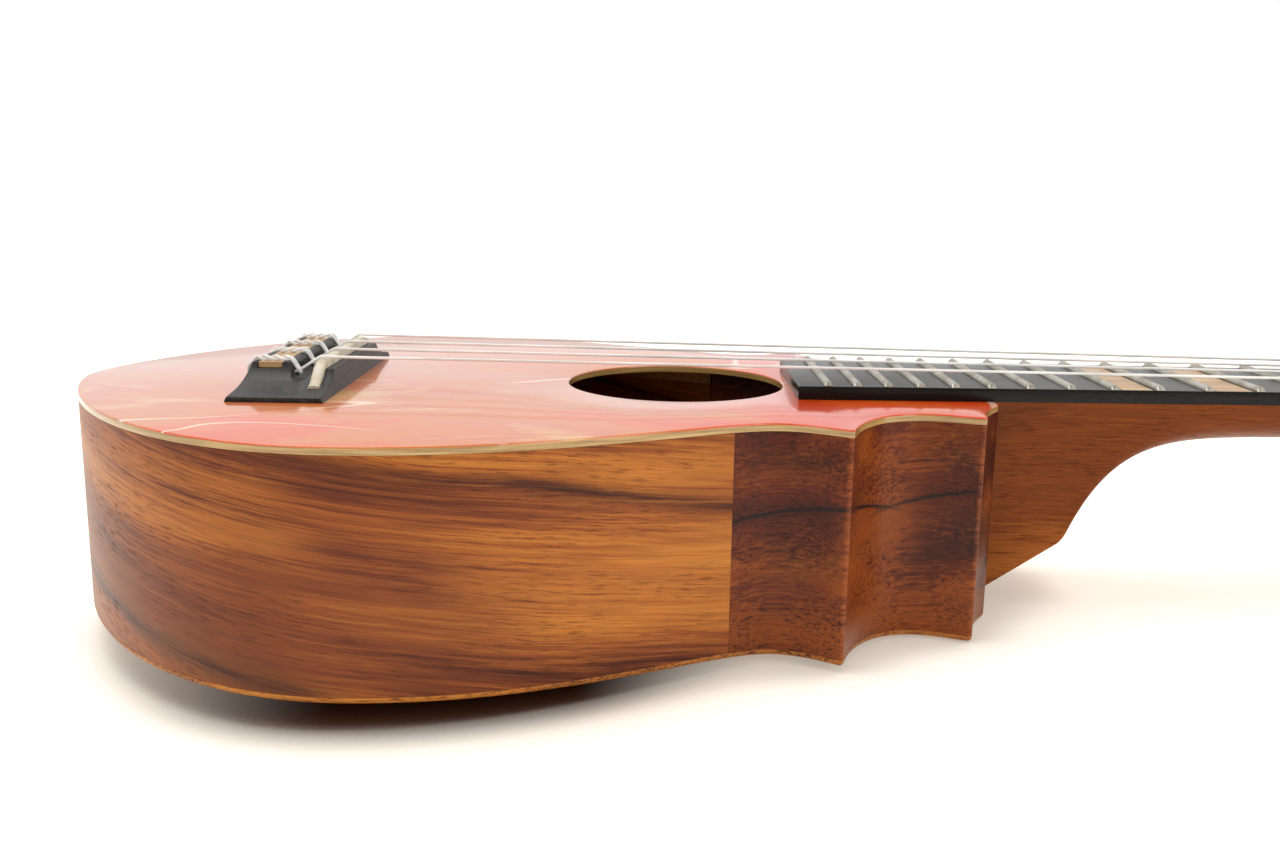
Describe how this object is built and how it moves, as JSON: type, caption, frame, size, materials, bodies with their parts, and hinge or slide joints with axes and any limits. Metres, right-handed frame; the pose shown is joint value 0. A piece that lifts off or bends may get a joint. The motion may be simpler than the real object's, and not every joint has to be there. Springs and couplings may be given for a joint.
{
  "type": "ukulele",
  "caption": "Four-string ukulele with a pear-shaped hollow body, two pointed shoulders each side, tie bridge, fretted neck and friction tuning pegs.",
  "frame": {"origin": "middle of the bounding box's underside: on the plane of the flat back, under the middle of the whole length", "axes": "+X from the tail to the headstock, +Z out of the soundboard, treble side at -Y"},
  "size_m": [0.59, 0.166, 0.0632],
  "materials": {
    "lacquered_top": "thick clear gloss over orange and salmon stain",
    "koa": "satin",
    "dark_koa": "satin",
    "mahogany": "satin",
    "spruce": "raw",
    "ebony": "oiled",
    "maple": "oiled",
    "bone": "polished bone",
    "nickel": "nickel silver, polished",
    "nylon": "clear",
    "black_button": "polished"
  },
  "bodies": {
    "instrument": {"soundboard": "lacquered_top", "back_plate": "koa", "rim_treble": "koa", "rim_bass": "koa", "shoulder_block": "dark_koa", "neck": "mahogany", "tail_block": "mahogany", "top_lining": "spruce", "back_lining": "spruce", "top_brace_lower": "spruce", "top_brace_upper": "spruce", "back_brace_lower": "spruce", "back_brace_upper": "spruce", "fretboard": "ebony", "bridge": "ebony", "headstock_veneer": "ebony", "bridge_plate": "maple", "tie_block_strip": "maple", "inlay_05": "maple", "inlay_07": "maple", "inlay_10": "maple", "inlay_12": "maple", "saddle": "bone", "nut": "bone", "fret_01": "nickel", "fret_02": "nickel", "fret_03": "nickel", "fret_04": "nickel", "fret_05": "nickel", "fret_06": "nickel", "fret_07": "nickel", "fret_08": "nickel", "fret_09": "nickel", "fret_10": "nickel", "fret_11": "nickel", "fret_12": "nickel", "fret_13": "nickel", "fret_14": "nickel", "fret_15": "nickel", "fret_16": "nickel", "fret_17": "nickel", "fret_18": "nickel", "fret_19": "nickel", "fret_20": "nickel", "string_1": "nylon", "string_2": "nylon", "string_3": "nylon", "string_4": "nylon", "peg_bushing_1": "nickel", "peg_bushing_2": "nickel", "peg_bushing_3": "nickel", "peg_bushing_4": "nickel"},
    "peg_1": {"peg_shaft_1": "nickel", "peg_button_1": "black_button"},
    "peg_2": {"peg_shaft_2": "nickel", "peg_button_2": "black_button"},
    "peg_3": {"peg_shaft_3": "nickel", "peg_button_3": "black_button"},
    "peg_4": {"peg_shaft_4": "nickel", "peg_button_4": "black_button"}
  },
  "joints": [
    {"name": "peg_1_turn", "type": "hinge", "parent": "instrument", "child": "peg_1", "pos_m": [0.19686, -0.018, 0.04877], "axis": [0.1564, 0, 0.9877], "continuous": true},
    {"name": "peg_2_turn", "type": "hinge", "parent": "instrument", "child": "peg_2", "pos_m": [0.23636, -0.018, 0.04251], "axis": [0.1564, 0, 0.9877], "continuous": true},
    {"name": "peg_3_turn", "type": "hinge", "parent": "instrument", "child": "peg_3", "pos_m": [0.23636, 0.018, 0.04251], "axis": [0.1564, 0, 0.9877], "continuous": true},
    {"name": "peg_4_turn", "type": "hinge", "parent": "instrument", "child": "peg_4", "pos_m": [0.19686, 0.018, 0.04877], "axis": [0.1564, 0, 0.9877], "continuous": true}
  ]
}
